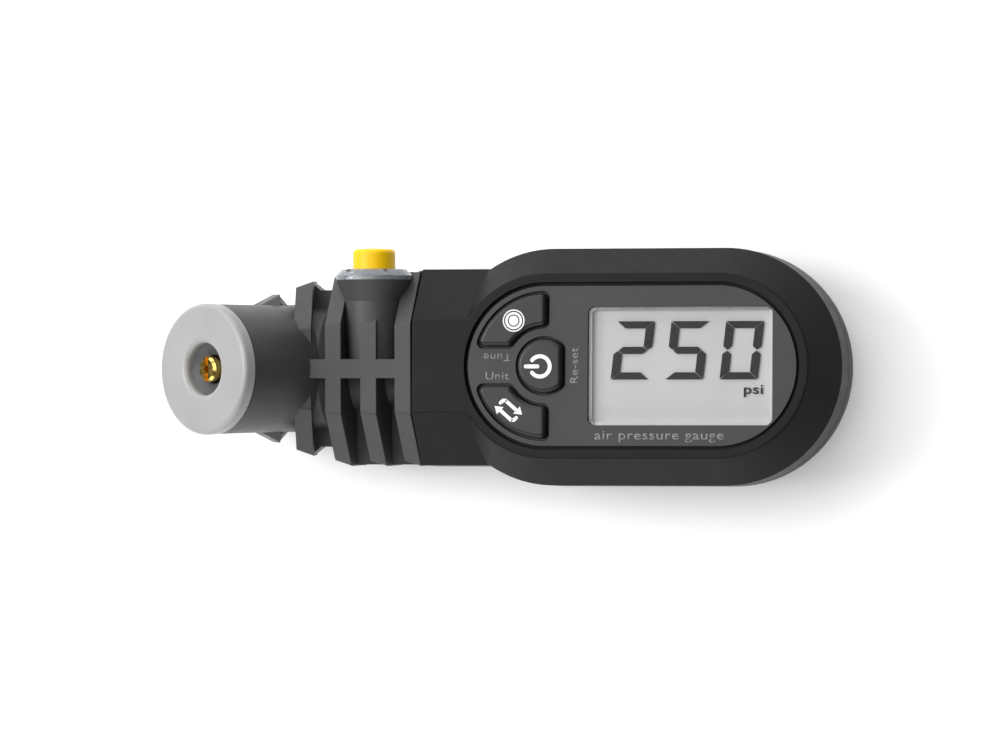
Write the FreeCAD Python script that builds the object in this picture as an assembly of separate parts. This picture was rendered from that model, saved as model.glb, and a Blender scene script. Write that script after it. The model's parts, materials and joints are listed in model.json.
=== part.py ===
import FreeCAD, Part
import math
import os

# Digital air-pressure gauge with a swivelling bent valve head, in millimetres.
# The gauge lies on its back: +X runs from the head to the round end of the display body,
# +Z is the display's normal, and the origin is the centre of the back rest face.

# ---- display body ----
END_R = 20.5            # outer radius of the oval body's round ends
END_X = 15.2            # centres of the round ends, either side of the origin
BODY_T = 25.0           # thickness
MID_Z = BODY_T / 2      # the parting plane, and the height of the swivel axis
RING_R = 15.9           # outer half width of the flat bezel ring
BEVEL_Z = 18.3          # where the front bevel meets the upright side
BACK_FLAT_R = 15.6      # half width of the flat back, before its edge is rounded
BACK_CORNER_Z = 7.2     # height at which the back's slope would meet the upright side
BACK_ROUND = 9.0        # radius of the turn between them
HOLLOW_BACK = (13.8, 8.0)   # the hollow's own back corner: half width of its floor, height of its side
WALL = 1.8
BACK_FLOOR = 2.0        # thickness of the back wall
PART_GAP = 0.15         # line between the two shells
EDGE = 0.35             # small rounding of moulded edges

# ---- neck ----
NECK_X = -38.9          # end face of the neck
NECK_HALF = 17.05
NECK_FLAT = 8.0         # half width of the neck's front and back flats
NECK_BEVEL = 7.0        # depth of its four bevels
NECK_WALL_X = NECK_X + 2.2

# ---- face panel, window and keys ----
PANEL_R = 13.8
PANEL_HOLE_R = 14.4     # the groove between panel and ring is the difference
LEDGE_R = 13.4
LEDGE_Z = 23.5          # the panel rests on this ledge
LEDGE_T = 1.1
PANEL_TOP = 24.65
WINDOW_Z = (23.9, 24.5) # bottom and top of the clear window
WINDOW_FIT = 0.05       # play of the window in its opening
FRAME_INSET = 0.6       # width of the light frame under the window's edge
WINDOW_SPAN = (20.0, 26.0)  # heights well below and above the window
WINDOW_X = (-7.7, 24.8)
WINDOW_Y = 10.25
WINDOW_R = 1.2
KEY_TRAVEL = 0.6
KEY_TOP = 25.7
KEY_ROUND = 0.8         # rounding of a key's top edge
KEY_GAP = 0.45          # groove between a key and the panel
KEY_RING_R = 12.95      # outer edge of the two curved keys, about the body's end centre
KEY_CENTRE_X = -15.37   # centre of the power key
KEY_ROUND_R = 5.12
KEY_FLAT_X = -11.65     # flat side of the power key
KEY_INNER_R = 6.45      # inner edge of the curved keys, about the power key
KEY_RIGHT_X = -14.5
KEY_SPLIT_Y = 3.0       # straight edge of the curved keys
KEY_FOOT = (22.5, 23.2)
KEY_BOTTOM = 21.45
KEY_FOOT_SPREAD = 0.3   # a key's foot is this much wider than its hole
KEY_CORNER = 0.95       # corner radii in plan: pad, hole, foot
KEY_HOLE_CORNER = 1.1
KEY_FOOT_CORNER = 1.2
KEY_SPOTS = [(-20.9, 7.7), (-20.9, -7.7), (-15.6, 0.0)]     # centres of the switch domes

# ---- inside the display body ----
BOARD = (17.3, 18.3)    # bottom and top of the circuit board
BOARD_R = 13.2
BOARD_NOTCH_Y = 5.6     # the board is notched round the sensor this wide
MEMBRANE_R = 12.9
MEMBRANE_T = 0.9
MEMBRANE_END_X = -10.2
DOME_R = (2.6, 1.8)
FRAME_R = 14.2          # the inner frame's plate
FRAME_Z = (8.0, 9.4)
FRAME_END_X = -17.0
FRAME_POSTS = [(-14, 9), (-14, -9), (18, 9), (18, -9)]
FRAME_POST_R = 1.6
CELL_STOP_R = 1.2       # two pegs that keep the cell down
CELL_STOP_Y = 7.5
STRIP_X = (-6, 22)      # rubber connector strips between the board and the display glass
STRIP_Y = 9.8
STRIP_HALF_T = 0.9
LCD = (21.4, 23.1)
LCD_X = (-9.4, 25.0)
LCD_Y = 10.7
SCREWS = [(24.0, 13.5), (24.0, -13.5), (-31.5, 12.2), (-31.5, -12.2)]
SCREW_R = 1.1
SCREW_HEAD_R = 2.1
SCREW_HEAD_T = 1.3
SCREW_SLOT = (1.3, 0.25)    # half length and half width of the cross recess
SCREW_SEAT_Z = 4.4      # each head sits this deep in a round recess of the back
SCREW_END_Z = 17.4
BOSS_R = 2.6
SADDLE_X = -33.7        # walls inside the neck that cradle the swivel socket
SADDLE_T = 1.6

# ---- battery and its door ----
CELL_X = 5.0
CELL_R = 10.0
CELL_Z = (3.3, 6.5)
CELL_CAN_STEP = (1.1, 0.5)  # the cell's upper edge steps in and down
CELL_WALL_R = (12.45, 13.4)
CELL_WALL_TOP = 7.4
CONTACT_HALF = 1.5
CONTACT_T = 0.3
CONTACT_X = (CELL_X - 10.4, CELL_X + 5.6)
TONGUE = 8.0
DOOR_R = 12.4
DOOR_SINK = 0.15        # the door lies this deep in the back
DOOR_GAP = 0.12
COIN_SLOT = (5.5, 0.9)  # half length and half width of the slot across the door
COIN_SLOT_Z = 1.5
DOOR_PLUG_R = 10.6
DOOR_STEP_R = 11.3
DOOR_STEP_Z = 1.2
DOOR_LUG_R = 12.2
DOOR_LUG_Z = (2.1, 2.9)
LUG_ANGLES = (30.0, 150.0, 270.0)
LUG_HALF_ANGLE = 9.0
DOOR_TURN = 40.0        # turn from locked to free

# ---- swivel ----
SPIGOT_R = 3.0
SOCKET_BORE_R = 3.05
SOCKET_R = 7.0
SOCKET_X = (-38.7, -24.0)
CHAMBER_X = -29.5       # the wider chamber that holds the clip and the sensor
CHAMBER_R = 5.2
SPIGOT_X = (-46.5, -27.8)
SPIGOT_ROOT_R = 4.5
SPIGOT_BORE_R = 1.2
ORING_X = (-36.5, -33.0)
ORING_GROOVE = 0.9      # half width of the seal grooves
ORING_GROOVE_R = 2.0
CLIP_X = (-29.4, -28.6)
CLIP_R = (2.42, 4.4)
CLIP_SEAT_R = 2.4
SENSOR_X = (-26.2, -23.8, -22.4)    # capsule: back, shoulder and front
SENSOR_FRONT_R = 4.6
SENSOR_SEAL_T = 1.0
CLAMP_X = (-22.4, -21.0)
CLAMP_Y = (7.5, 8.7)
CLAMP_Z = (6.0, 8.5, 16.4)
RIBBON_HALF = 2.5
RIBBON_T = 0.2
RIBBON_END = (-17.5, 11.0)

# ---- valve head ----
HEAD_X = -39.25         # joint face of the head
HEAD_TURN = 2.0         # the head rests turned this far on its swivel
RIB_T = 2.85
RIB_X = [HEAD_X - RIB_T / 2, -46.85, -53.2]
RIB_HALF = 17.0
RIB_HALF_Z = 12.15      # clear of the rest plane when the head turns
RIB_R = 0.7             # rounding of the corners of a rib's eight-sided outline
FINS = [                # x, half width, half height, lean, thickness, taper
    (-61.3, 15.25, 11.4, 12.0, 3.0, 1.08),
    (-69.0, 13.0, 9.8, 24.0, 4.2, 2.2),
]
RIB_TAPER = 1.0         # a rib's rim is this much narrower on its far side
BAR_HALF = 1.65
BAR_END_X = -58.5
WEB_HALF_T = 1.5
CORE = [(11.0, -62.7), (10.5, -56.5), (7.6, -52.5), (6.2, -39.25)]   # radius and X of the core
KNEE_R = 11.2
AIR_R = 1.5             # air passage from the mouth to the swivel
BEND_X = -62.7
BEND_ANGLE = -32.5      # turn about Y that takes +Z onto the barrel's axis
BARREL_R = (11.0, 11.3)
BARREL_END = 20.0       # lengths along the barrel, from the bend
CAP_R = 11.4
CAP_FACE = 22.5
CAP_ROUND = 0.85        # rounding of the cap's rim
CAP_GAP = 0.25          # line between the cap and the barrel
FIT = 0.08              # play between pressed parts of the mouth
SEAT_Z = (13.05, 15.0)  # bottom and top of the seal's metal seat
SEAT_STEP_Z = 14.6      # the barrel widens here to take the cap's skirt
SEAL_TOP = 20.95
SEAL_CONE_Z = 19.7      # depth of the seal's cone at its hole
MOUTH_R = 4.5
MOUTH_ROUND = 0.95
SEAL_HOLE_R = 2.55
SEAL_R = 7.6
SKIRT_R = 9.0
DEPRESSOR_R = 2.2
DEPRESSOR_TIP = 21.6
DEPRESSOR_FOOT = 9.0
DEPRESSOR_TAIL_R = 1.2
FLANGE_R = 4.2
FLANGE_Z = (11.4, 12.6)
VALVE_BORE_R = 4.6
VALVE_BORE_Z = (4.0, 13.0)
DEPRESSOR_COIL = (3.0, 0.35, 7.0, 5)    # radius, wire radius, length, turns

# ---- release valve, its axis along Y ----
RELEASE_X = -47.1
RELEASE_Z = 19.5
RELEASE_R = (4.4, 5.1)  # radius at the core and at the flare's foot
FLARE_Y = (11.8, 15.5)
NOTCH_HALF = 0.5        # small notches round the collar
NOTCHES = 5
FLARE_R = 6.65
COLLAR_Y = (15.5, 17.4)
BUTTON_R = 3.7
BUTTON_Y = (15.9, 20.95)
BUTTON_BORE = (3.9, 13.8)   # radius, and how far in it starts
SPRING_BORE = (3.0, 9.5)
STEM_BORE = (2.3, 5.0)
VENT_BORE = (1.1, 2.5)
STEM_R = 0.9
STEM_GROOVE = (0.6, 6.6, 7.6)   # radius and ends of the seal groove
STEM_END = 5.2
SIDE_AIR = 0.9          # half width of the side passage
RELEASE_COIL = (2.2, 0.3, 6.2, 4)

V = FreeCAD.Vector
NODES = {}


# ---- small makers ----
def rounded(corners, place):
    """Closed wire through (a, b, radius) corners, each rounded by a tangent arc."""
    turns = []
    for i, (a, b, radius) in enumerate(corners):
        corner = V(a, b, 0)
        before = V(corners[i - 1][0], corners[i - 1][1], 0)
        after = V(corners[(i + 1) % len(corners)][0], corners[(i + 1) % len(corners)][1], 0)
        if radius == 0:
            turns.append((corner, None, corner))
            continue
        to_before = (before - corner).normalize()
        to_after = (after - corner).normalize()
        half = to_before.getAngle(to_after) / 2
        inward = (to_before + to_after).normalize()
        reach = radius / math.tan(half)
        middle = corner + inward * (radius / math.sin(half) - radius)
        turns.append((corner + to_before * reach, middle, corner + to_after * reach))
    edges = []
    for i, (start, middle, end) in enumerate(turns):
        last = turns[i - 1][2]
        if last.distanceToPoint(start) > 1e-5:
            edges.append(Part.makeLine(place(last.x, last.y), place(start.x, start.y)))
        if middle is not None:
            arc = Part.Arc(place(start.x, start.y), place(middle.x, middle.y), place(end.x, end.y))
            edges.append(arc.toShape())
    return Part.Wire(edges)


def face(corners, place):
    return Part.Face(rounded(corners, place))


def sharp(*corners):
    return [(a, b, 0) for a, b in corners]


def slab(corners, bottom, top):
    """Prism of a plan outline between two heights."""
    flat = face(corners, lambda a, b: V(a, b, bottom))
    return flat.extrude(V(0, 0, top - bottom))


def turned(corners, centre, axis, start):
    """Solid of a (radius, length) outline turned about an axis; start is the radius direction."""
    outline = face(corners, lambda a, b: centre + start * a + axis * b)
    return outline.revolve(centre, axis, 360)


def turned_x(corners, z=MID_Z):
    return turned(corners, V(0, 0, z), V(1, 0, 0), V(0, 0, 1))


def turned_y(corners):
    return turned(corners, V(RELEASE_X, 0, RELEASE_Z), V(0, 1, 0), V(1, 0, 0))


def turned_z(corners, x=0, y=0):
    return turned(corners, V(x, y, 0), V(0, 0, 1), V(1, 0, 0))


def disc(radius, low, high):
    return sharp((0, low), (radius, low), (radius, high), (0, high))


def ring(inner, outer, low, high):
    return sharp((inner, low), (outer, low), (outer, high), (inner, high))


def box(x, y, z):
    corner = V(x[0], y[0], z[0])
    return Part.makeBox(x[1] - x[0], y[1] - y[0], z[1] - z[0], corner)


def fuse(first, *others):
    return first.fuse(list(others)).removeSplitter()


def cut(shape, *tools):
    return shape.cut(list(tools)).removeSplitter()


def on_barrel(shape):
    """Moves a shape from the barrel's own frame, bend at the origin and axis +Z, into place."""
    lean = FreeCAD.Placement(V(BEND_X, 0, MID_Z), FreeCAD.Rotation(V(0, 1, 0), BEND_ANGLE))
    shape.Placement = lean.multiply(shape.Placement)
    return shape


def torus(major, minor, centre, axis):
    return Part.makeTorus(major, minor, centre, axis)


def coil(radius, wire, length, turns):
    """Compression spring along +Z from the origin, as one swept helix."""
    pitch = (length - 2 * wire) / turns
    path = Part.makeHelix(pitch, pitch * turns, radius)
    circle = Part.Circle(V(radius, 0, 0), V(0, 1, 0), wire)
    section = Part.Wire([circle.toShape()])
    spring = Part.Wire(path.Edges).makePipeShell([section], True, True)
    spring.translate(V(0, 0, wire))
    return spring


def keep(name, shape):
    NODES[name] = shape


def keep_on_head(name, shape):
    """Keeps a piece of the swivelling head, turned with it about the swivel axis."""
    turn = FreeCAD.Placement(V(0, 0, 0), FreeCAD.Rotation(V(1, 0, 0), HEAD_TURN), V(0, 0, MID_Z))
    shape.Placement = turn.multiply(shape.Placement)
    keep(name, shape)


# ---- the oval plan ----
def stadium(half):
    """Corners of a stadium outline with round ends of the given radius."""
    x = END_X + half
    return [(x, -half, half), (x, half, half), (-x, half, half), (-x, -half, half)]


def oval(profile):
    """Solid of a half profile (distance from the middle line, height) carried round the oval."""
    right = face(profile, lambda r, z: V(END_X, -r, z))
    left = face(profile, lambda r, z: V(-END_X, r, z))
    upper = face(profile, lambda r, z: V(-END_X, r, z))
    lower = face(profile, lambda r, z: V(-END_X, -r, z))
    return fuse(
        right.revolve(V(END_X, 0, 0), V(0, 0, 1), 180),
        left.revolve(V(-END_X, 0, 0), V(0, 0, 1), 180),
        upper.extrude(V(2 * END_X, 0, 0)),
        lower.extrude(V(2 * END_X, 0, 0)),
    )


def neck_section(inset, x):
    """Face of the eight-sided neck at x, drawn in by inset."""
    half = NECK_HALF - inset
    flat = NECK_FLAT - inset * 0.4
    low = inset
    high = BODY_T - inset
    corners = [
        (flat, low), (half, low + NECK_BEVEL), (half, high - NECK_BEVEL), (flat, high),
        (-flat, high), (-half, high - NECK_BEVEL), (-half, low + NECK_BEVEL), (-flat, low),
    ]
    return face([(a, b, EDGE) for a, b in corners], lambda a, b: V(x, a, b))


def neck(inset, x_from, x_to):
    return neck_section(inset, x_from).extrude(V(x_to - x_from, 0, 0))


def plan_band(inset, width, bottom, top):
    """Band that follows the outline of the oval and the neck, for the shell gasket."""
    def filled(step):
        low_x = NECK_X + step
        half = NECK_HALF - step
        block = box((low_x, -END_X), (-half, half), (bottom, top))
        return fuse(slab(stadium(END_R - step), bottom, top), block)
    return cut(filled(inset), filled(inset + width))


# ---- shells ----
def body_block():
    profile = [
        (0, 0, 0), (BACK_FLAT_R, 0, 3.5), (END_R, BACK_CORNER_Z, BACK_ROUND), (END_R, BEVEL_Z, EDGE),
        (RING_R, BODY_T, EDGE), (0, BODY_T, 0),
    ]
    neck_end = neck(0, NECK_X, -END_X)
    return fuse(oval(profile), neck_end)


def body_hollow():
    inner_r = END_R - WALL
    top = LEDGE_Z - LEDGE_T
    floor_r, side_z = HOLLOW_BACK
    profile = sharp((0, BACK_FLOOR), (floor_r, BACK_FLOOR), (inner_r, side_z),
                    (inner_r, BEVEL_Z - 0.6), (RING_R - 0.9, top), (0, top))
    return fuse(oval(profile), neck(WALL, NECK_WALL_X, -END_X))


def screw_boss(x, y, bottom, top, hole_r):
    post = turned_z(disc(BOSS_R, bottom, top), x, y)
    return post, turned_z(disc(hole_r, bottom - 0.1, SCREW_END_Z + 0.6), x, y)


def swivel_seat():
    """Space in the neck for the swivel manifold."""
    seat = turned_x(disc(SOCKET_R + 0.02, SOCKET_X[0], SOCKET_X[1] + 3.0))
    return fuse(seat, turned_x(disc(SPIGOT_R + 1.2, NECK_X - 1.0, SOCKET_X[0])))


def saddle(z):
    """Half wall inside the neck that cradles the swivel socket."""
    half = NECK_HALF - WALL
    return box((SADDLE_X, SADDLE_X + SADDLE_T), (-half, half), z)


def make_shells():
    block = body_block()
    hollow = body_hollow()
    seat = swivel_seat()
    front_half = box((-60, 60), (-40, 40), (MID_Z + PART_GAP / 2, 60))
    back_half = box((-60, 60), (-40, 40), (-1, MID_Z - PART_GAP / 2))
    shell = cut(block, hollow)
    groove = plan_band(0.95, 0.7, MID_Z - 0.5, MID_Z + 0.5)

    front = shell.common(front_half)
    back = shell.common(back_half)
    inner_block = hollow.common(front_half)
    front_posts = []
    front_holes = []
    back_posts = []
    back_holes = []
    for x, y in SCREWS:
        post, hole = screw_boss(x, y, MID_Z + 0.1, LEDGE_Z - LEDGE_T, SCREW_R + 0.02)
        front_posts.append(post.common(inner_block))
        front_holes.append(hole)
        post = fuse(turned_z(disc(BOSS_R, 0, MID_Z - 0.1), x, y),
                    turned_z(disc(SCREW_HEAD_R + 1.3, 0, SCREW_SEAT_Z + 1.4), x, y))
        back_posts.append(post.common(block.common(back_half)))
        back_holes.append(turned_z(disc(SCREW_R + 0.15, -1, MID_Z), x, y))
        back_holes.append(turned_z(disc(SCREW_HEAD_R + 0.2, -1, SCREW_SEAT_Z), x, y))
    front_saddle = saddle((MID_Z + 0.1, LEDGE_Z)).common(inner_block)
    back_saddle = saddle((WALL - 0.3, MID_Z - 0.1)).common(hollow.common(back_half))

    front = fuse(front, front_saddle, *front_posts)
    panel_hole = slab(stadium(PANEL_HOLE_R), LEDGE_Z, BODY_T + 1)
    ledge_hole = slab(stadium(LEDGE_R), LEDGE_Z - LEDGE_T - 0.5, LEDGE_Z)
    keep("front_shell", cut(front, panel_hole, ledge_hole, seat, groove, *front_holes))

    cell_wall = turned_z(ring(*CELL_WALL_R, BACK_FLOOR - 0.5, CELL_WALL_TOP), CELL_X)
    back = fuse(back, back_saddle, cell_wall, *back_posts)
    door_space = [
        turned_z(disc(DOOR_R + DOOR_GAP, -1, DOOR_STEP_Z), CELL_X),
        turned_z(disc(DOOR_STEP_R, -1, BACK_FLOOR + 0.5), CELL_X),
    ]
    way_in = [lug(angle + DOOR_TURN, 0.25, -1, BACK_FLOOR + 0.5) for angle in LUG_ANGLES]
    keep("back_shell", cut(back, seat, groove, *door_space, *way_in, *back_holes))
    keep("shell_gasket", cut(plan_band(1.0, 0.6, MID_Z - 0.45, MID_Z + 0.45), seat))


def lug(angle, clearance, bottom, top):
    """Bayonet lug of the battery door, or with clearance the notch that lets it in."""
    outer = DOOR_LUG_R + clearance
    sweep = LUG_HALF_ANGLE + clearance * 8
    start = DOOR_PLUG_R - 1.5
    piece = turned_z(ring(start, outer, bottom, top), CELL_X)
    reach = outer * 2 * math.tan(math.radians(sweep))
    wedge = slab(sharp((0, 0), (outer * 2, -reach), (outer * 2, reach)), bottom - 1, top + 1)
    wedge.rotate(V(0, 0, 0), V(0, 0, 1), angle)
    wedge.translate(V(CELL_X, 0, 0))
    return piece.common(wedge)


def make_screws():
    screws = []
    for x, y in SCREWS:
        head_z = SCREW_SEAT_Z - SCREW_HEAD_T
        head = turned_z([(0, head_z, 0), (SCREW_HEAD_R, head_z, 0.5), (SCREW_HEAD_R, SCREW_SEAT_Z, 0),
                         (SCREW_R, SCREW_SEAT_Z, 0), (SCREW_R, SCREW_END_Z - 0.8, 0),
                         (0, SCREW_END_Z, 0)], x, y)
        reach, half = SCREW_SLOT
        slots = [box((x - reach, x + reach), (y - half, y + half), (0, head_z + 0.8)),
                 box((x - half, x + half), (y - reach, y + reach), (0, head_z + 0.8))]
        screws.append(cut(head, *slots))
    keep("shell_screws", Part.makeCompound(screws))


# ---- face panel, window and keys ----
def window(inset, bottom, top):
    low_x, high_x = WINDOW_X
    corners = [(low_x + inset, -WINDOW_Y + inset), (high_x - inset, -WINDOW_Y + inset),
               (high_x - inset, WINDOW_Y - inset), (low_x + inset, WINDOW_Y - inset)]
    radius = max(WINDOW_R - inset, 0.3)
    return slab([(a, b, radius) for a, b in corners], bottom, top)


def upright_edges(shape):
    return [e for e in shape.Edges if abs(e.tangentAt(e.FirstParameter).z) > 0.99]


def curved_key(up, inset, bottom, top, corner):
    """Key beside the power key; up is 1 or -1."""
    centre_end = V(-END_X, 0, bottom)
    outer = Part.makeCylinder(KEY_RING_R - inset, top - bottom, centre_end)
    centre_key = V(KEY_CENTRE_X, 0, bottom)
    inner = Part.makeCylinder(KEY_INNER_R + inset, top - bottom, centre_key)
    edge_y = KEY_SPLIT_Y + inset
    near, far = sorted((up * edge_y, up * 30))
    keep_box = box((-40, KEY_RIGHT_X - inset), (near, far), (bottom, top))
    body = outer.common(keep_box).cut(inner)
    return body.makeFillet(corner, upright_edges(body))


def power_key(inset, bottom, top, corner):
    round_part = Part.makeCylinder(KEY_ROUND_R - inset, top - bottom, V(KEY_CENTRE_X, 0, bottom))
    body = round_part.common(box((-40, KEY_FLAT_X - inset), (-10, 10), (bottom, top)))
    ends = [e for e in upright_edges(body) if e.Vertexes[0].X > KEY_FLAT_X - inset - 0.01]
    return body.makeFillet(corner, ends)


KEYS = {
    "tune_key": lambda *sizes: curved_key(1, *sizes),
    "unit_key": lambda *sizes: curved_key(-1, *sizes),
    "power_key": lambda *sizes: power_key(*sizes),
}


def top_edges(shape, height):
    return [e for e in shape.Edges
            if all(abs(v.Z - height) < 1e-4 for v in e.Vertexes) and abs(e.BoundBox.ZLength) < 1e-4]


def make_keys():
    for name, outline in KEYS.items():
        pad = outline(KEY_GAP, KEY_BOTTOM, KEY_TOP, KEY_CORNER)
        pad = pad.makeFillet(KEY_ROUND, top_edges(pad, KEY_TOP))
        foot = outline(-KEY_FOOT_SPREAD, *KEY_FOOT, KEY_FOOT_CORNER)
        keep(name, fuse(pad, foot))


def make_panel():
    panel = slab(stadium(PANEL_R), LEDGE_Z, PANEL_TOP)
    holes = [outline(0, LEDGE_Z - 1, PANEL_TOP + 1, KEY_HOLE_CORNER) for outline in KEYS.values()]
    keep("face_panel", cut(panel, window(0, LEDGE_Z - 1, PANEL_TOP + 1), *holes))
    keep("lcd_window", window(WINDOW_FIT, *WINDOW_Z))
    frame = window(WINDOW_FIT, LCD[1], WINDOW_Z[0]).common(slab(stadium(LEDGE_R - WINDOW_FIT), *WINDOW_SPAN))
    keep("lcd_frame", cut(frame, window(FRAME_INSET, *WINDOW_SPAN)))


def make_display():
    glass = slab([(LCD_X[0], -LCD_Y, 1.5), (LCD_X[1], -LCD_Y, 1.5),
                  (LCD_X[1], LCD_Y, 1.5), (LCD_X[0], LCD_Y, 1.5)], *LCD)
    # its right corners are cut to pass the ledge
    keep("lcd_module", glass.common(slab(stadium(LEDGE_R - 0.1), *WINDOW_SPAN)))
    strips = [box(STRIP_X, (y - STRIP_HALF_T, y + STRIP_HALF_T), (BOARD[1], LCD[0]))
              for y in (-STRIP_Y, STRIP_Y)]
    keep("zebra_strips", Part.makeCompound(strips))


def make_board():
    outline = slab(stadium(BOARD_R), *BOARD)
    corner_notches = [turned_z(disc(BOSS_R + 0.25, 0, 30), x, y) for x, y in SCREWS]
    notch = box((-40, SOCKET_X[1] + 0.5), (-BOARD_NOTCH_Y, BOARD_NOTCH_Y), (0, 30))
    keep("circuit_board", cut(outline, notch, *corner_notches))
    sheet = slab(stadium(MEMBRANE_R), BOARD[1], BOARD[1] + MEMBRANE_T)
    sheet = sheet.common(box((-40, MEMBRANE_END_X), (-30, 30), (0, 30))).cut(notch)
    dome_top = KEY_BOTTOM - KEY_TRAVEL - 0.1
    dome = sharp((0, 19.0), (DOME_R[0], 19.0), (DOME_R[1], dome_top), (0, dome_top))
    domes = [turned_z(dome, x, y) for x, y in KEY_SPOTS]
    keep("keypad_membrane", fuse(sheet, *domes))


def make_inner_frame():
    """Carrier between the cell and the board, with four standoffs."""
    plate = slab(stadium(FRAME_R), *FRAME_Z)
    plate = plate.common(box((FRAME_END_X, 40), (-30, 30), (0, 30)))
    posts = [turned_z(disc(FRAME_POST_R, FRAME_Z[1] - 0.4, BOARD[0]), x, y) for x, y in FRAME_POSTS]
    stops = [turned_z(disc(CELL_STOP_R, CELL_Z[1] + 0.1, FRAME_Z[0] + 0.2), CELL_X, y)
             for y in (CELL_STOP_Y, -CELL_STOP_Y)]
    slots = [box((x - 0.6, x + 0.8), (-2.2, 2.2), (0, 30)) for x in CONTACT_X]
    notches = [turned_z(disc(BOSS_R + 0.3, 0, 30), x, y) for x, y in SCREWS]
    keep("inner_frame", cut(fuse(plate, *posts, *stops), *slots, *notches))


def make_battery():
    bottom, top = CELL_Z
    cap_r = CELL_R - CELL_CAN_STEP[0]
    can_top = top - CELL_CAN_STEP[1]
    cell = [(0, bottom, 0), (CELL_R, bottom, 0.4), (CELL_R, can_top, 0.2),
            (cap_r, can_top, 0), (cap_r, top, 0.2), (0, top, 0)]
    outline = face(cell, lambda a, b: V(CELL_X + a, 0, b))
    keep("battery", outline.revolve(V(CELL_X, 0, 0), V(0, 0, 1), 360))
    across = (-CONTACT_HALF, CONTACT_HALF)
    plus_x, minus_x = CONTACT_X
    keep("battery_contact_plus", box((plus_x, plus_x + CONTACT_T), across, (bottom + 0.3, BOARD[0])))
    # a leg, and the tongue that presses on the cell
    leg = box((minus_x, minus_x + CONTACT_T), across, (top, BOARD[0]))
    tongue = box((minus_x - TONGUE, minus_x), across, (top, top + CONTACT_T))
    keep("battery_contact_minus", fuse(leg, tongue))


def make_door():
    cover = turned_z([(0, DOOR_SINK, 0), (DOOR_R, DOOR_SINK, 0.3), (DOOR_R, DOOR_STEP_Z - 0.1, 0),
                      (DOOR_PLUG_R, DOOR_STEP_Z - 0.1, 0), (DOOR_PLUG_R, DOOR_LUG_Z[1], 0),
                      (0, DOOR_LUG_Z[1], 0)], CELL_X)
    lugs = [lug(angle, 0, *DOOR_LUG_Z) for angle in LUG_ANGLES]
    reach, half = COIN_SLOT
    coin_slot = box((CELL_X - reach, CELL_X + reach), (-half, half), (-1, COIN_SLOT_Z))
    keep("battery_door", cut(fuse(cover, *lugs), coin_slot))
    mid_r = (DOOR_PLUG_R + DOOR_STEP_R) / 2
    wire_r = (DOOR_STEP_R - DOOR_PLUG_R) / 2 - 0.03
    keep("door_oring", torus(mid_r - 0.02, wire_r, V(CELL_X, 0, 1.6), V(0, 0, 1)))


# ---- swivel manifold and sensor ----
def make_swivel():
    body = [(SOCKET_BORE_R, SOCKET_X[0], 0), (SOCKET_R, SOCKET_X[0], 0.4), (SOCKET_R, SOCKET_X[1], 0.4),
            (CHAMBER_R, SOCKET_X[1], 0), (CHAMBER_R, CHAMBER_X, 0), (SOCKET_BORE_R, CHAMBER_X, 0)]
    keep("swivel_socket", turned_x(body))

    corners = [(SPIGOT_BORE_R, SPIGOT_X[0]), (SPIGOT_ROOT_R, SPIGOT_X[0]), (SPIGOT_ROOT_R, HEAD_X - 0.2),
               (SPIGOT_R, HEAD_X - 0.2)]
    for x in ORING_X:
        corners += [(SPIGOT_R, x - ORING_GROOVE), (ORING_GROOVE_R, x - ORING_GROOVE),
                    (ORING_GROOVE_R, x + ORING_GROOVE), (SPIGOT_R, x + ORING_GROOVE)]
    corners += [(SPIGOT_R, CLIP_X[0]), (CLIP_SEAT_R, CLIP_X[0]), (CLIP_SEAT_R, CLIP_X[1]),
                (SPIGOT_R, CLIP_X[1]), (SPIGOT_R, SPIGOT_X[1]), (SPIGOT_BORE_R, SPIGOT_X[1])]
    keep_on_head("swivel_spigot", turned_x(sharp(*corners)))
    wire_r = (SPIGOT_R - ORING_GROOVE_R) / 2 - 0.01
    rings = [torus(ORING_GROOVE_R + wire_r + 0.01, wire_r, V(x, 0, MID_Z), V(1, 0, 0)) for x in ORING_X]
    keep_on_head("swivel_orings", Part.makeCompound(rings))
    clip = turned_x(ring(*CLIP_R, CLIP_X[0] + 0.05, CLIP_X[1] - 0.05))
    opening = box((CLIP_X[0], CLIP_X[1]), (-1.6, 1.6), (MID_Z - 6, MID_Z))
    keep_on_head("retaining_clip", cut(clip, opening))


def make_sensor():
    back, shoulder, front = SENSOR_X
    capsule = [(0, back, 0), (CHAMBER_R - 0.03, back, 0), (CHAMBER_R - 0.03, shoulder, 0),
               (SENSOR_FRONT_R, shoulder, 0), (SENSOR_FRONT_R, front, 0.4), (0, front, 0)]
    keep("pressure_sensor", turned_x(capsule))
    keep("sensor_seal", turned_x(ring(3.4, CHAMBER_R - 0.05, back - SENSOR_SEAL_T, back)))
    inner, outer = CLAMP_Y
    low, step, high = CLAMP_Z
    plate = box(CLAMP_X, (-inner, inner), (low, high))
    wide_plate = box(CLAMP_X, (-outer, outer), (step, high))
    lips = [box((CLAMP_X[0] - 2.2, CLAMP_X[0]), (y, y + outer - inner), (step, high))
            for y in (-outer, inner)]
    keep("sensor_bracket", fuse(plate, wide_plate, *lips))
    across = (-RIBBON_HALF, RIBBON_HALF)
    start = CLAMP_X[1] + 0.1
    upright = box((start, start + RIBBON_T), across, (RIBBON_END[1], BOARD[0]))
    flat = box((start, RIBBON_END[0]), across, (BOARD[0] - RIBBON_T, BOARD[0]))
    keep("sensor_ribbon", fuse(upright, flat))


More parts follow.
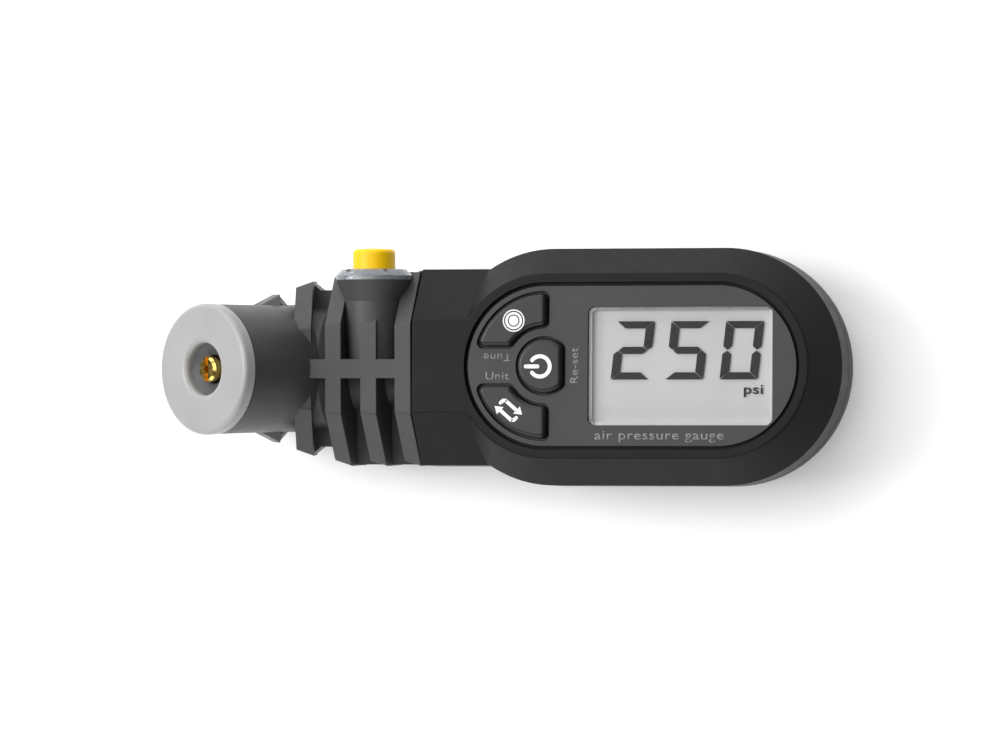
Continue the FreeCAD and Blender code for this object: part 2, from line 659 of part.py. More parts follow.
# ---- valve head ----
def rib_wire(x, half_width, half_height):
    """Eight-sided outline like the neck's, of another size."""
    scale = half_width / NECK_HALF
    flat = NECK_FLAT * scale
    side = half_height - NECK_BEVEL * scale
    corners = [
        (flat, -half_height), (half_width, -side), (half_width, side), (flat, half_height),
        (-flat, half_height), (-half_width, side), (-half_width, -side), (-flat, -half_height),
    ]
    return rounded([(a, b, RIB_R) for a, b in corners], lambda a, b: V(x, a, MID_Z + b))


def rib(x, half_width, half_height, thickness, taper=RIB_TAPER):
    """Ring-shaped fin across the head, its rim narrower on the side away from the body."""
    near = rib_wire(x + thickness / 2, half_width, half_height)
    far = rib_wire(x - thickness / 2, half_width - taper, half_height)
    return Part.makeLoft([near, far], True, True)


def leaning_fin(x, half_width, half_height, lean, thickness, taper):
    fin = rib(x, half_width, half_height, thickness, taper)
    fin.rotate(V(x, 0, MID_Z), V(0, 1, 0), lean)
    return fin


def web():
    """Plate in the middle plane that joins the ribs."""
    edge = [(-70.1, 11.2), (-66.5, 12.6), (-65.2, 11.1), (-63.0, 11.1), (-59.8, 14.9), (-58.3, 13.7),
            (-54.6, 13.7), (-54.0, 16.0), (-53.2, 16.8), (HEAD_X, 16.8)]
    corners = edge + [(x, -y) for x, y in reversed(edge)]
    return slab(sharp(*corners), MID_Z - WEB_HALF_T, MID_Z + WEB_HALF_T)


def bent_core():
    cone = turned_x(sharp((0, BEND_X), *CORE, (0, HEAD_X)))
    knee = Part.makeSphere(KNEE_R, V(BEND_X, 0, MID_Z))
    sides = sharp((0, 0), (BARREL_R[0], 0), (BARREL_R[1], BARREL_END), (0, BARREL_END))
    return fuse(knee, cone, on_barrel(turned_z(sides)))


def release_chamber():
    return turned_y(sharp((0, 0), (RELEASE_R[0], 0), (RELEASE_R[1], FLARE_Y[0]), (FLARE_R, FLARE_Y[1]),
                          (0, FLARE_Y[1])))


def head_bores():
    """Every space inside the head casing."""
    steps = [(0, VENT_BORE[1])]
    for near, far in ((VENT_BORE, STEM_BORE), (STEM_BORE, SPRING_BORE), (SPRING_BORE, BUTTON_BORE)):
        steps += [(near[0], near[1]), (near[0], far[1])]
    steps += [BUTTON_BORE, (BUTTON_BORE[0], FLARE_Y[1] + 1), (0, FLARE_Y[1] + 1)]
    release = turned_y(sharp(*steps))
    collar_seat = turned_y(disc(FLARE_R + FIT, COLLAR_Y[0], COLLAR_Y[1] + 1))
    side_x = (RELEASE_X - SIDE_AIR, RELEASE_X + SIDE_AIR)
    cross = box(side_x, (2.6, 4.4), (MID_Z - SIDE_AIR, RELEASE_Z))
    side_passage = box(side_x, (0, 4.4), (MID_Z - SIDE_AIR, MID_Z + SIDE_AIR))
    spigot = turned_x(disc(SPIGOT_ROOT_R + 0.02, SPIGOT_X[0], HEAD_X + 1))
    passage = turned_x(disc(AIR_R, BEND_X, SPIGOT_X[0]))
    low, high = VALVE_BORE_Z
    seat_r = SEAL_R + 0.1
    skirt_r = SKIRT_R + 0.03
    barrel = turned_z(sharp((0, -0.5), (AIR_R, -0.5), (AIR_R, low), (VALVE_BORE_R, low),
                            (VALVE_BORE_R, high), (seat_r, high), (seat_r, SEAT_STEP_Z), (skirt_r, SEAT_STEP_Z),
                            (skirt_r, BARREL_END + 1), (0, BARREL_END + 1)))
    return [release, collar_seat, cross, spigot, passage, side_passage, on_barrel(barrel)]


def make_head_casing():
    ribs = [rib(x, RIB_HALF, RIB_HALF_Z, RIB_T) for x in RIB_X]
    fins = [leaning_fin(*fin) for fin in FINS]
    bar = box((BAR_END_X, HEAD_X - 0.3), (-BAR_HALF, BAR_HALF), (MID_Z - RIB_HALF_Z, MID_Z + RIB_HALF_Z))
    solid = fuse(bent_core(), web(), bar, release_chamber(), *ribs, *fins)
    joint_trim = box((HEAD_X, 0), (-40, 40), (-5, 40))
    keep_on_head("head_casing", cut(solid, joint_trim, *head_bores()))


def make_mouth():
    """Parts screwed or pressed into the barrel, in the barrel's own frame."""
    low = BARREL_END + CAP_GAP
    seat_low, seat_high = SEAT_Z
    mouth = [(MOUTH_R, BARREL_END, 0), (MOUTH_R, CAP_FACE, MOUTH_ROUND)]
    rim = [(CAP_R, CAP_FACE, CAP_ROUND), (CAP_R, low, 0)]
    skirt = [(SKIRT_R, low), (SKIRT_R, seat_high), (SEAL_R + FIT, seat_high), (SEAL_R + FIT, BARREL_END)]
    keep_on_head("head_cap", on_barrel(turned_z(mouth + rim + sharp(*skirt))))
    neck_r = MOUTH_R - 0.05
    seal = sharp((SEAL_HOLE_R, seat_high), (SEAL_R, seat_high), (SEAL_R, BARREL_END - 0.02),
                 (neck_r, BARREL_END - 0.02), (neck_r, SEAL_TOP), (SEAL_HOLE_R, SEAL_CONE_Z))
    keep_on_head("valve_seal", on_barrel(turned_z(seal)))
    keep_on_head("seal_seat", on_barrel(turned_z(ring(DEPRESSOR_R + 0.06, SEAL_R, seat_low, seat_high))))


def make_depressor():
    low, high = FLANGE_Z
    body = turned_z(sharp((0, DEPRESSOR_FOOT), (DEPRESSOR_TAIL_R, DEPRESSOR_FOOT), (DEPRESSOR_TAIL_R, low),
                          (FLANGE_R, low), (FLANGE_R, high), (DEPRESSOR_R, high),
                          (DEPRESSOR_R, DEPRESSOR_TIP - 0.4), (DEPRESSOR_R - 0.4, DEPRESSOR_TIP),
                          (0, DEPRESSOR_TIP)))
    slot = box((-0.4, 0.4), (-3, 3), (DEPRESSOR_TIP - 1.2, DEPRESSOR_TIP + 1))
    hole = turned_z(disc(0.7, DEPRESSOR_TIP - 3.0, DEPRESSOR_TIP + 1))
    keep_on_head("valve_depressor", on_barrel(cut(body, slot, hole)))
    spring = coil(*DEPRESSOR_COIL)
    spring.translate(V(0, 0, VALVE_BORE_Z[0] + 0.2))
    keep_on_head("depressor_spring", on_barrel(spring))


# ---- release valve ----
def make_release():
    inner = BUTTON_R + 0.1
    low, high = COLLAR_Y
    collar = [(inner, low, 0), (FLARE_R, low, 0), (FLARE_R + 0.05, low + 0.7, 0.2),
              (5.6, high - 0.15, 0.3), (4.3, high, 0.1), (inner, high, 0)]
    notches = []
    for i in range(NOTCHES):
        notch = box((4.9, 6.0), (low + 1.0, high + 1), (-NOTCH_HALF, NOTCH_HALF))
        notch.rotate(V(0, 0, 0), V(0, 1, 0), 90 + i * 360 / NOTCHES)
        notch.translate(V(RELEASE_X, 0, RELEASE_Z))
        notches.append(notch)
    keep_on_head("release_collar", cut(turned_y(collar), *notches))
    foot, top = BUTTON_Y
    button = [(0, foot, 0), (BUTTON_R, foot, 0), (BUTTON_R, top - 0.2, 0.8), (0, top, 0)]
    keep_on_head("release_button", turned_y(button))
    groove_r, near, far = STEM_GROOVE
    stem = sharp((0, STEM_END), (STEM_R, STEM_END), (STEM_R, near), (groove_r, near), (groove_r, far),
                 (STEM_R, far), (STEM_R, foot), (0, foot))
    keep_on_head("release_stem", turned_y(stem))
    centre = V(RELEASE_X, (near + far) / 2, RELEASE_Z)
    keep_on_head("release_oring", torus(1.35, 0.45, centre, V(0, 1, 0)))
    spring = coil(*RELEASE_COIL)
    spring.rotate(V(0, 0, 0), V(1, 0, 0), -90)
    spring.translate(V(RELEASE_X, SPRING_BORE[1] + 0.1, RELEASE_Z))
    keep_on_head("release_spring", spring)


def main():
    os.makedirs("parts", exist_ok=True)
    make_shells()
    make_screws()
    make_keys()
    make_panel()
    make_display()
    make_board()
    make_inner_frame()
    make_battery()
    make_door()
    make_swivel()
    make_sensor()
    make_head_casing()
    make_mouth()
    make_depressor()
    make_release()
    for name, shape in NODES.items():
        solids = shape.Solids
        print(name, len(solids), round(shape.Volume, 1), shape.isValid())
        if len(solids) == 1:
            shape = solids[0]
        shape.exportStep("parts/" + name + ".step")


main()
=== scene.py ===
import json
import math

import bmesh
import bpy
from mathutils import Matrix, Vector


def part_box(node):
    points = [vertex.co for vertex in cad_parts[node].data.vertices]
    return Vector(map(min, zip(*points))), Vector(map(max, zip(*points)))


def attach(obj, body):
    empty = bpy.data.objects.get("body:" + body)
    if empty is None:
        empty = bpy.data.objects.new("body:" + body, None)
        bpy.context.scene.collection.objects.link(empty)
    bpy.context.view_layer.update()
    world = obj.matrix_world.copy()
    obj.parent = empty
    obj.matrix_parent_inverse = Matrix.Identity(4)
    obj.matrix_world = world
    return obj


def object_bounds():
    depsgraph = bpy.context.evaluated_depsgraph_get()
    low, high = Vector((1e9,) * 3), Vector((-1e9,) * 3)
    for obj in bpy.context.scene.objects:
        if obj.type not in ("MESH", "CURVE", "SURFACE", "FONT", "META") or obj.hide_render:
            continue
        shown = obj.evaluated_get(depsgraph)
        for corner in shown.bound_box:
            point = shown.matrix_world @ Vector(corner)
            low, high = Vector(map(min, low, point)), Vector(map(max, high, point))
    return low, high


# Looks of a digital air-pressure gauge with a swivelling bent valve head.
# Sizes are in millimetres, times MM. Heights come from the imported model's boxes. Places in plan are
# measured from the middle of the oval body, where the frame has its origin.

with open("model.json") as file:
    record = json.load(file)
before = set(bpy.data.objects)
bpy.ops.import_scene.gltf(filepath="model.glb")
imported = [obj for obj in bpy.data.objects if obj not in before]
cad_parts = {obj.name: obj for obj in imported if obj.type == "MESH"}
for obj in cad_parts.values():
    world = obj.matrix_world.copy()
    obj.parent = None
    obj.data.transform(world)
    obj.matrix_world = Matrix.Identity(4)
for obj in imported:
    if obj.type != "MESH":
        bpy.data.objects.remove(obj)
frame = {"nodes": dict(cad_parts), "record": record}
nodes = frame["nodes"]
cad_low, cad_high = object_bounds()

MM = 0.001
PANEL_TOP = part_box("face_panel")[1].z
LCD_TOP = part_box("lcd_module")[1].z
PRINT_T = 0.02 * MM        # thickness of printed marks

# Grain and wear, in millimetres or in cells per millimetre.
EDGE_R = 0.22              # shading radius of the casings' moulded edges
FINE_EDGE_R = 0.1          # and of the panel's and the keys'
EDGE_SAMPLES = 6
TINT_CELLS = 0.09          # slow change of colour over a moulding
FINISH_CELLS = 0.35        # patches of duller and glossier finish
CLEAR_TINT_CELLS = 0.3
CLEAR_FINISH_CELLS = 0.5
CLEAR_DARKEST = 0.96       # least share of a clear plastic's colour
CLEAR_ROUGHEST = 1.4       # and most share of its roughness
PLASTIC_IOR = 1.49
MARK_STRENGTH = 0.3        # bump of the tool marks on metal
MARK_DEPTH = 0.01


# ---------------------------------------------------------------- materials
LOOKS = {}      # the materials made here, by the names they were asked for


def new_material(name):
    material = bpy.data.materials.new(name)
    material.use_nodes = True
    LOOKS[name] = material
    tree = material.node_tree
    return tree, tree.nodes["Principled BSDF"]


def noise(tree, cells, detail=2.0, roughness=0.5):
    """Noise in the object's own coordinates, with this many cells per millimetre."""
    where = tree.nodes.new("ShaderNodeTexCoord")
    texture = tree.nodes.new("ShaderNodeTexNoise")
    texture.inputs["Scale"].default_value = cells / MM
    texture.inputs["Detail"].default_value = detail
    texture.inputs["Roughness"].default_value = roughness
    tree.links.new(where.outputs["Object"], texture.inputs["Vector"])
    return texture.outputs["Fac"]


def ramp(tree, value, low, high):
    """Maps a texture onto colours or greys between low and high."""
    made = tree.nodes.new("ShaderNodeValToRGB")
    made.color_ramp.elements[0].position = 0.3      # the noise seldom leaves 0.3 to 0.7
    made.color_ramp.elements[1].position = 0.7
    made.color_ramp.elements[0].color = (*low, 1)
    made.color_ramp.elements[1].color = (*high, 1)
    tree.links.new(value, made.inputs["Fac"])
    return made.outputs["Color"]


def grey(value):
    return (value, value, value)


def add_bump(tree, shader, height, strength, distance, edge=0.0):
    """Surface grain, over edges whose shading is rounded by edge millimetres."""
    bump = tree.nodes.new("ShaderNodeBump")
    if edge > 0:
        bevel = tree.nodes.new("ShaderNodeBevel")
        bevel.samples = EDGE_SAMPLES
        bevel.inputs["Radius"].default_value = edge * MM
        tree.links.new(bevel.outputs["Normal"], bump.inputs["Normal"])
    bump.inputs["Strength"].default_value = strength
    bump.inputs["Distance"].default_value = distance * MM
    tree.links.new(height, bump.inputs["Height"])
    tree.links.new(bump.outputs["Normal"], shader.inputs["Normal"])


def moulded(name, dark, light, rough, grain=3.0, grain_depth=0.02, strength=0.35, edge=0.0, gloss=0.5):
    """Moulded plastic or rubber: faint colour variation and a fine spark-eroded grain.

    rough is the range of roughness, grain the cells per millimetre, and gloss the specular level.
    """
    tree, shader = new_material(name)
    shader.inputs["Specular IOR Level"].default_value = gloss
    colour = ramp(tree, noise(tree, TINT_CELLS, 3.0), dark, light)
    tree.links.new(colour, shader.inputs["Base Color"])
    finish = ramp(tree, noise(tree, FINISH_CELLS, 4.0), grey(rough[0]), grey(rough[1]))
    tree.links.new(finish, shader.inputs["Roughness"])
    add_bump(tree, shader, noise(tree, grain, 3.0, 0.6), strength, grain_depth, edge)


def metal(name, dark, light, rough, stretch=(1, 1, 1), cells=0.6):
    """Turned or brushed metal: noise drawn out along the marks of the tool."""
    tree, shader = new_material(name)
    where = tree.nodes.new("ShaderNodeTexCoord")
    mapping = tree.nodes.new("ShaderNodeMapping")
    mapping.inputs["Scale"].default_value = stretch
    texture = tree.nodes.new("ShaderNodeTexNoise")
    texture.inputs["Scale"].default_value = cells / MM
    texture.inputs["Detail"].default_value = 4.0
    tree.links.new(where.outputs["Object"], mapping.inputs["Vector"])
    tree.links.new(mapping.outputs["Vector"], texture.inputs["Vector"])
    marks = texture.outputs["Fac"]
    tree.links.new(ramp(tree, marks, dark, light), shader.inputs["Base Color"])
    tree.links.new(ramp(tree, marks, grey(rough[0]), grey(rough[1])), shader.inputs["Roughness"])
    shader.inputs["Metallic"].default_value = 1.0
    add_bump(tree, shader, marks, MARK_STRENGTH, MARK_DEPTH)


def clear(name, colour, rough, transmission, alpha=1.0, gloss=0.5):
    """Clear plastic: a thin window by its alpha, or a thick piece by its transmission."""
    tree, shader = new_material(name)
    shader.inputs["Specular IOR Level"].default_value = gloss
    tint = ramp(tree, noise(tree, CLEAR_TINT_CELLS), [c * CLEAR_DARKEST for c in colour], colour)
    tree.links.new(tint, shader.inputs["Base Color"])
    finish = ramp(tree, noise(tree, CLEAR_FINISH_CELLS, 3.0), grey(rough), grey(rough * CLEAR_ROUGHEST))
    tree.links.new(finish, shader.inputs["Roughness"])
    shader.inputs["Transmission Weight"].default_value = transmission
    shader.inputs["IOR"].default_value = PLASTIC_IOR
    shader.inputs["Alpha"].default_value = alpha


def make_materials():
    """One material for each slot of the record, and three for the printed marks."""
    moulded("body_black", grey(0.0075), grey(0.0095), rough=(0.38, 0.46),
            grain=2.6, grain_depth=0.012, strength=0.3, edge=EDGE_R, gloss=0.13)
    moulded("casing_grey", grey(0.046), grey(0.054), rough=(0.42, 0.5),
            grain=2.4, grain_depth=0.02, strength=0.35, edge=EDGE_R, gloss=0.35)
    moulded("cap_silver", grey(0.3), grey(0.33), rough=(0.3, 0.38),
            grain=0.9, grain_depth=0.01, strength=0.2, edge=EDGE_R)
    moulded("panel_grey", grey(0.032), grey(0.037), rough=(0.38, 0.46),
            grain=3.4, grain_depth=0.006, strength=0.3, edge=FINE_EDGE_R, gloss=0.32)
    moulded("key_rubber", grey(0.012), grey(0.016), rough=(0.34, 0.42),
            grain=3.0, grain_depth=0.006, strength=0.25, edge=FINE_EDGE_R, gloss=0.4)
    moulded("button_yellow", (0.84, 0.5, 0.001), (0.88, 0.54, 0.002), rough=(0.36, 0.44),
            grain=1.2, grain_depth=0.008, strength=0.2, edge=EDGE_R, gloss=0.25)
    moulded("rubber_black", grey(0.06), (0.066, 0.07, 0.075), rough=(0.42, 0.55), grain=1.5)
    moulded("silicone_grey", grey(0.3), grey(0.36), rough=(0.5, 0.6))
    moulded("frame_light", grey(0.5), grey(0.56), rough=(0.4, 0.5))
    moulded("lcd_glass", (0.46, 0.465, 0.455), (0.5, 0.505, 0.495), rough=(0.36, 0.44),
            grain=2.0, grain_depth=0.003)
    moulded("board_green", (0.02, 0.12, 0.05), (0.03, 0.16, 0.07), rough=(0.3, 0.4))
    moulded("ribbon_amber", (0.4, 0.17, 0.03), (0.5, 0.22, 0.05), rough=(0.25, 0.35))
    metal("steel", grey(0.5), grey(0.66), rough=(0.22, 0.34), stretch=(1, 1, 0.15))
    metal("socket_aluminium", grey(0.6), grey(0.72), rough=(0.25, 0.38), stretch=(6, 1, 1))
    metal("brass", (0.78, 0.53, 0.12), (0.9, 0.66, 0.2), rough=(0.14, 0.24), cells=0.8)
    clear("window_clear", (0.2, 0.2, 0.2), rough=0.02, transmission=0.0, alpha=0.04, gloss=0.15)
    clear("collar_clear", (0.5, 0.53, 0.58), rough=0.12, transmission=0.7)
    moulded("print_white", grey(0.8), grey(0.85), rough=(0.5, 0.6))
    moulded("print_grey", grey(0.19), grey(0.22), rough=(0.5, 0.6))
    moulded("segment_dark", grey(0.011), grey(0.015), rough=(0.5, 0.6), gloss=0.2)


make_materials()


def dress_nodes():
    """Gives every CAD node the procedural material of its slot."""
    slot_of = {row["node"]: row["material_slot"] for row in frame["record"]["subparts"]}
    for name, node in nodes.items():
        node.data.materials.clear()
        node.data.materials.append(LOOKS[slot_of[name]])


# ---------------------------------------------------------------- mesh makers
LAYER_STEP = 0.002         # each overlapping outline is this share thicker than the last
RING_STEPS = 64
DISC_STEPS = 48
END_STEPS = 24             # sides of a line's round end
SHARPEST_MITRE = 0.3       # a turn's mitre is cut off beyond this cosine
CAP_SHARE = 0.73           # height of a capital letter over the font's size
LETTER_SPACING = 1.05
LETTER_STEPS = 6           # points along each curve of a letter


def finish_piece(name, mesh_data, look, body):
    """Makes an object of a mesh, gives it a look, and fixes it to a body of the frame."""
    piece = bpy.data.objects.new(name, mesh_data)
    bpy.context.scene.collection.objects.link(piece)
    mesh_data.materials.append(LOOKS[look])
    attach(piece, body)
    return piece


def flat_piece(name, outlines, z, thickness, look, body):
    """Thin printed or laid piece made of plan outlines, each a list of (x, y) in metres.

    Outlines may overlap, so each is a hair thicker than the one before it.
    """
    mesh = bmesh.new()
    for step, outline in enumerate(outlines):
        top = z + thickness * (1 + LAYER_STEP * step)
        low = [mesh.verts.new((x, y, z)) for x, y in outline]
        high = [mesh.verts.new((x, y, top)) for x, y in outline]
        mesh.faces.new(high)
        mesh.faces.new(list(reversed(low)))
        for i in range(len(outline)):
            j = (i + 1) % len(outline)
            mesh.faces.new((low[i], low[j], high[j], high[i]))
    bmesh.ops.recalc_face_normals(mesh, faces=mesh.faces)
    data = bpy.data.meshes.new(name)
    mesh.to_mesh(data)
    mesh.free()
    return finish_piece(name, data, look, body)


def ring_strip(centre, inner, outer, start=0.0, end=360.0):
    """Outlines, one quad a step, of a ring or part of one; angles in degrees."""
    quads = []
    for i in range(RING_STEPS):
        a = math.radians(start + (end - start) * i / RING_STEPS)
        b = math.radians(start + (end - start) * (i + 1) / RING_STEPS)
        corners = [(inner, a), (outer, a), (outer, b), (inner, b)]
        quads.append([(centre[0] + r * math.cos(t), centre[1] + r * math.sin(t)) for r, t in corners])
    return quads


def stroke(points, width):
    """Outline of a constant-width line through points, with square ends and mitred turns."""
    half = width / 2
    left = []
    right = []
    for i, here in enumerate(points):
        here = Vector(here)
        before = Vector(points[max(i - 1, 0)])
        after = Vector(points[min(i + 1, len(points) - 1)])
        into = (here - before).normalized() if i > 0 else (after - here).normalized()
        out = (after - here).normalized() if i < len(points) - 1 else into
        normal_in = Vector((-into.y, into.x))
        normal_out = Vector((-out.y, out.x))
        mitre = (normal_in + normal_out).normalized()
        reach = half / max(mitre.dot(normal_in), SHARPEST_MITRE)
        left.append(here + mitre * reach)
        right.append(here - mitre * reach)
    return [tuple(p) for p in left + right[::-1]]


def disc_outline(centre, radius, steps=DISC_STEPS):
    turn = 2 * math.pi / steps
    return [(centre[0] + radius * math.cos(turn * i), centre[1] + radius * math.sin(turn * i))
            for i in range(steps)]


def text_piece(name, words, cap_height, centre, angle, z, look, width, bold):
    """Printed lettering: a text turned into a thin mesh, centred on a point of the face.

    The letters are stretched to the given width, and bold thickens their strokes.
    """
    curve = bpy.data.curves.new(name, "FONT")
    curve.body = words
    curve.align_x = "CENTER"
    curve.align_y = "CENTER"
    curve.space_character = LETTER_SPACING
    curve.offset = bold
    curve.size = cap_height / CAP_SHARE
    curve.resolution_u = LETTER_STEPS
    made = bpy.data.objects.new(name, curve)
    bpy.context.scene.collection.objects.link(made)
    bpy.context.view_layer.update()
    data = bpy.data.meshes.new_from_object(made.evaluated_get(bpy.context.evaluated_depsgraph_get()))
    bpy.data.objects.remove(made)
    xs = [v.co.x for v in data.vertices]
    ys = [v.co.y for v in data.vertices]
    middle = Vector(((min(xs) + max(xs)) / 2, (min(ys) + max(ys)) / 2, 0))
    stretch = width / (max(xs) - min(xs))
    place = (Matrix.Translation((centre[0], centre[1], z)) @ Matrix.Rotation(math.radians(angle), 4, "Z")
             @ Matrix.Diagonal((stretch, 1, 1, 1)) @ Matrix.Translation(-middle))
    data.transform(place)
    mesh = bmesh.new()
    mesh.from_mesh(data)
    grown = bmesh.ops.extrude_face_region(mesh, geom=mesh.faces[:])
    raised = [item for item in grown["geom"] if isinstance(item, bmesh.types.BMVert)]
    bmesh.ops.translate(mesh, vec=(0, 0, PRINT_T), verts=raised)
    bmesh.ops.recalc_face_normals(mesh, faces=mesh.faces)
    mesh.to_mesh(data)
    mesh.free()
    return finish_piece(name, data, look, "root")


# ---------------------------------------------------------------- printed marks
TARGET_AT = (-20.6 * MM, 7.8 * MM)          # centres of the icons on the three keys
POWER_AT = (-15.9 * MM, -0.1 * MM)
CYCLE_AT = (-21.45 * MM, -7.66 * MM)
TARGET_RINGS = [(1.72, 1.93), (1.06, 1.48)]     # inner and outer radius of each ring
TARGET_DISC_R = 0.85
POWER_R = 1.75             # middle of the broken ring
POWER_LINE = 0.68          # width of its line
POWER_HALF_ANGLE = 142     # the ring runs this far each way from +X
POWER_BAR_X = (-2.5, -0.45)     # ends of its bar, from the icon's centre
CYCLE_LINE = 0.62          # width of the arrows' lines
CYCLE_HOOK = [(-1.4, 1.3), (-0.95, 1.68), (-0.5, 1.68)]
CYCLE_SHAFT = [(-0.5, 1.68), (1.5, -0.05)]
CYCLE_HEAD = [(2.45, -0.75), (2.05, 0.65), (0.85, -0.55)]
LETTER_BOLD = 0.015        # the strokes grow by this much on each side
LABELS = [      # name, words, capital height, centre, angle in degrees, width
    ("tune_label", "Tune", 1.4, (-23.7, 1.5), 180, 4.9),
    ("unit_label", "Unit", 1.45, (-23.7, -1.7), 0, 4.2),
    ("reset_label", "Re-set", 1.5, (-10.05, 0.1), 90, 6.1),
    ("face_words", "air pressure gauge", 1.65, (5.0, -12.2), 0, 22.8),
]


def round_line(points, width):
    """Outlines of a line with round ends."""
    ends = [disc_outline(point, width / 2, END_STEPS) for point in (points[0], points[-1])]
    return [stroke(points, width)] + ends


def make_icon(key, name, outlines, body):
    """White printed icon on top of a key."""
    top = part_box(key)[1].z
    flat_piece(name, outlines, top, PRINT_T, "print_white", body)


def make_target_icon():
    outlines = []
    for inner, outer in TARGET_RINGS:
        outlines += ring_strip(TARGET_AT, inner * MM, outer * MM)
    outlines.append(disc_outline(TARGET_AT, TARGET_DISC_R * MM))
    make_icon("tune_key", "target_icon", outlines, "tune")


def make_power_icon():
    centre = Vector(POWER_AT)
    middle_r = POWER_R * MM
    width = POWER_LINE * MM
    opening = math.radians(POWER_HALF_ANGLE)
    outlines = ring_strip(centre, middle_r - width / 2, middle_r + width / 2,
                          -POWER_HALF_ANGLE, POWER_HALF_ANGLE)
    for side in (-1, 1):
        end = centre + middle_r * Vector((math.cos(opening), side * math.sin(opening)))
        outlines.append(disc_outline(end, width / 2, END_STEPS))
    outlines += round_line([centre + Vector((x * MM, 0)) for x in POWER_BAR_X], width)
    make_icon("power_key", "power_icon", outlines, "power")


def make_cycle_icon():
    """Two bent arrows that chase each other."""
    width = CYCLE_LINE * MM
    outlines = []
    for turn in (0, 180):
        spin = Matrix.Rotation(math.radians(turn), 2)
        hook, shaft, head = [[Vector(CYCLE_AT) + spin @ (Vector(point) * MM) for point in line]
                             for line in (CYCLE_HOOK, CYCLE_SHAFT, CYCLE_HEAD)]
        outlines += round_line(hook, width)
        outlines.append(stroke(shaft, width))
        outlines.append([tuple(point) for point in head])
    make_icon("unit_key", "cycle_icon", outlines, "unit")


def make_labels():
    for name, words, height, centre, angle, width in LABELS:
        place = (centre[0] * MM, centre[1] * MM)
        text_piece(name, words, height * MM, place, angle, PANEL_TOP, "print_grey",
                   width * MM, LETTER_BOLD * MM)


# ---------------------------------------------------------------- display
DIGIT_W = 6.7 * MM
DIGIT_H = 10.0 * MM
BAR_H = 1.22 * MM          # thickness of the level bars
BAR_W = 1.52 * MM          # and of the upright ones
BAR_SPACE = 0.16 * MM      # between two bars
SLANT = math.tan(math.radians(6.5))
DIGITS = [("2", -3.95), ("5", 5.65), ("0", 15.25)]      # and the left edge of each
DIGIT_FOOT = -2.3 * MM
PRINT_LIFT = 0.25 * MM     # the digits float this far over the glass
SEGMENTS = {"2": "abged", "5": "afgcd", "0": "abcdef"}
UNIT_HEIGHT = 1.7 * MM
UNIT_WIDTH = 3.35 * MM
UNIT_AT = (21.2 * MM, -4.3 * MM)
UNIT_BOLD = 0.03 * MM


def segment(which):
    """Outline of one bar of a seven-segment digit whose lower left corner is the origin.

    The bars are lettered as usual: a on top, then clockwise to f, and g across the middle.
    """
    w = DIGIT_W
    h = DIGIT_H
    mid = h / 2
    half = BAR_H / 2
    g = BAR_SPACE / 2
    if which == "a":
        return [(g, h), (w - g, h), (w - BAR_W - g, h - BAR_H), (BAR_W + g, h - BAR_H)]
    if which == "d":
        return [(g, 0), (BAR_W + g, BAR_H), (w - BAR_W - g, BAR_H), (w - g, 0)]
    if which == "g":
        return [(BAR_W * 0.5 + g, mid), (BAR_W + g, mid + half), (w - BAR_W - g, mid + half),
                (w - BAR_W * 0.5 - g, mid), (w - BAR_W - g, mid - half), (BAR_W + g, mid - half)]
    outer, inner = (w, w - BAR_W) if which in "bc" else (0, BAR_W)
    middle = (outer + inner) / 2
    if which in "bf":
        return [(outer, h - g), (inner, h - BAR_H - g), (inner, mid + half + g), (middle, mid + g),
                (outer, mid + half + g * 0.5)]
    return [(outer, g), (inner, BAR_H + g), (inner, mid - half - g), (middle, mid - g),
            (outer, mid - half - g * 0.5)]


def make_display():
    z = LCD_TOP + PRINT_LIFT
    outlines = []
    for text, left in DIGITS:
        for which in SEGMENTS[text]:
            outlines.append([(left * MM + x + y * SLANT, DIGIT_FOOT + y) for x, y in segment(which)])
    flat_piece("lcd_digits", outlines, z, PRINT_T, "segment_dark", "root")
    text_piece("lcd_unit", "psi", UNIT_HEIGHT, UNIT_AT, 0, z, "segment_dark",
               UNIT_WIDTH, UNIT_BOLD)


# ---------------------------------------------------------------- stage
FLOOR_HALF = 1.2           # metres
FLOOR_GAP = 0.05 * MM      # under the object, so that the two faces don't meet
FLOOR_CELLS = 0.004
FLOOR_GLOW = 0.22          # the floor is lit a little from below, like a light table

# Places, sizes and distances of lamps and camera are in metres, powers in watts.
LAMP_AIM = (-0.02, 0, 0.01)
LAMPS = [       # name, place, size, power
    ("top_soft", (-0.16, 0.2, 0.97), (1.1, 1.0), 6.9),
    ("back_soft", (-0.2, 0.8, 0.3), (1.2, 0.45), 5.2),
    ("front_soft", (-0.2, -0.8, 0.3), (1.2, 0.45), 4.0),
    ("left_soft", (-0.6, 0.1, 0.55), (0.5, 0.5), 4.6),
]
SKY_STRENGTH = 0.07

LENS = 268.6               # millimetres, on a sensor 36 wide
SENSOR = 36.0
CAMERA_AIM = (-26.34 * MM, -1.2 * MM, 12.5 * MM)
CAMERA_DISTANCE = 1.3
CAMERA_LEAN = 14.3         # degrees towards +X from straight above
CAMERA_LOW = 1.57          # and towards -Y
CAMERA_ROLL = 0.32


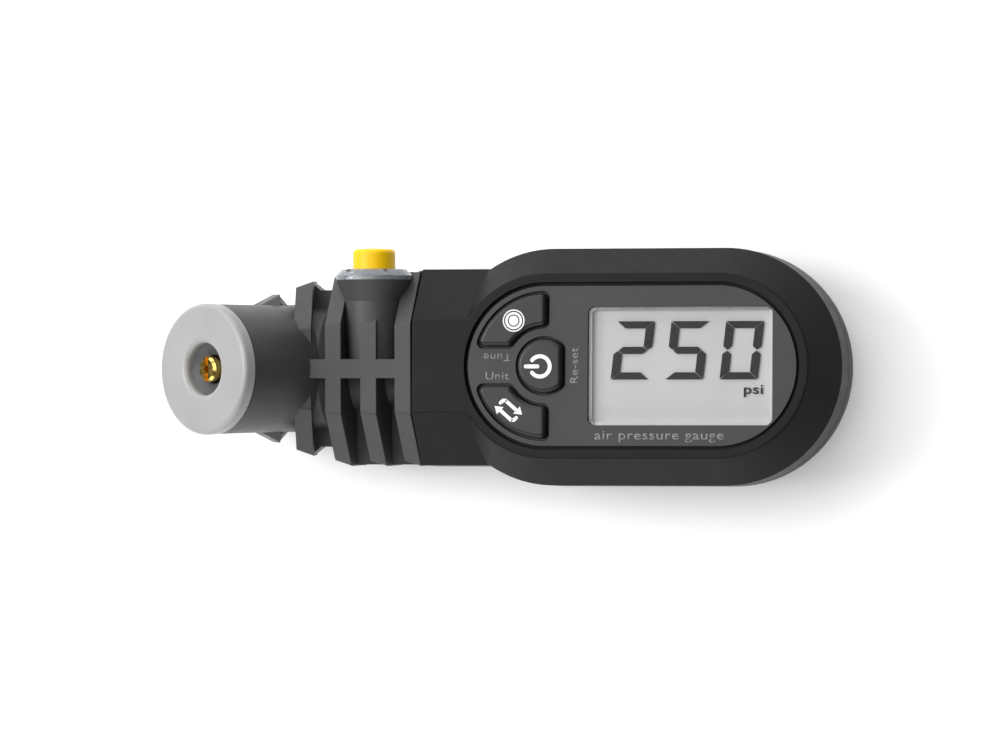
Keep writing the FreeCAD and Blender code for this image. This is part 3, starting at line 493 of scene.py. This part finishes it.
def make_floor():
    mesh = bmesh.new()
    corners = [mesh.verts.new((x * FLOOR_HALF, y * FLOOR_HALF, 0)) for x, y in
               ((-1, -1), (1, -1), (1, 1), (-1, 1))]
    mesh.faces.new(corners)
    data = bpy.data.meshes.new("floor")
    mesh.to_mesh(data)
    mesh.free()
    floor = bpy.data.objects.new("floor", data)
    floor.location.z = cad_low.z - FLOOR_GAP
    bpy.context.scene.collection.objects.link(floor)
    tree, shader = new_material("floor_white")
    colour = ramp(tree, noise(tree, FLOOR_CELLS), grey(0.88), grey(0.9))
    tree.links.new(colour, shader.inputs["Base Color"])
    shader.inputs["Roughness"].default_value = 0.9
    shader.inputs["Specular IOR Level"].default_value = 0.1
    shader.inputs["Emission Color"].default_value = (1.0, 1.0, 1.0, 1.0)
    shader.inputs["Emission Strength"].default_value = FLOOR_GLOW
    data.materials.append(LOOKS["floor_white"])


def make_lamp(name, place, size, power):
    data = bpy.data.lights.new(name, "AREA")
    data.shape = "RECTANGLE"
    data.size = size[0]
    data.size_y = size[1]
    data.energy = power
    lamp = bpy.data.objects.new(name, data)
    lamp.location = place
    lamp.rotation_mode = "QUATERNION"
    lamp.rotation_quaternion = (Vector(LAMP_AIM) - Vector(place)).to_track_quat("-Z", "Y")
    bpy.context.scene.collection.objects.link(lamp)


def make_lights():
    for name, place, size, power in LAMPS:
        make_lamp(name, place, size, power)
    world = bpy.data.worlds.new("studio")
    world.use_nodes = True
    background = world.node_tree.nodes["Background"]
    background.inputs["Color"].default_value = (1.0, 1.0, 1.0, 1.0)
    background.inputs["Strength"].default_value = SKY_STRENGTH
    bpy.context.scene.world = world
    bpy.context.scene.view_settings.view_transform = "Standard"


def make_camera():
    data = bpy.data.cameras.new("camera")
    data.lens = LENS
    data.sensor_width = SENSOR
    data.clip_start = 0.05
    data.clip_end = 10.0
    camera = bpy.data.objects.new("camera", data)
    bpy.context.scene.collection.objects.link(camera)
    lean = math.radians(CAMERA_LEAN)
    low = math.radians(CAMERA_LOW)
    roll = Matrix.Rotation(math.radians(CAMERA_ROLL), 3, "Z")
    back = Vector((math.sin(lean) * math.cos(low), -math.sin(low), math.cos(lean) * math.cos(low)))
    camera.location = Vector(CAMERA_AIM) + back * CAMERA_DISTANCE
    side = Vector((0, 1, 0)).cross(back).normalized()
    up = back.cross(side).normalized()
    turn = Matrix((side, up, back)).transposed() @ roll
    camera.rotation_mode = "QUATERNION"
    camera.rotation_quaternion = turn.to_quaternion()
    bpy.context.scene.camera = camera


make_camera()
dress_nodes()
make_target_icon()
make_power_icon()
make_cycle_icon()
make_labels()
make_display()
make_floor()
make_lights()
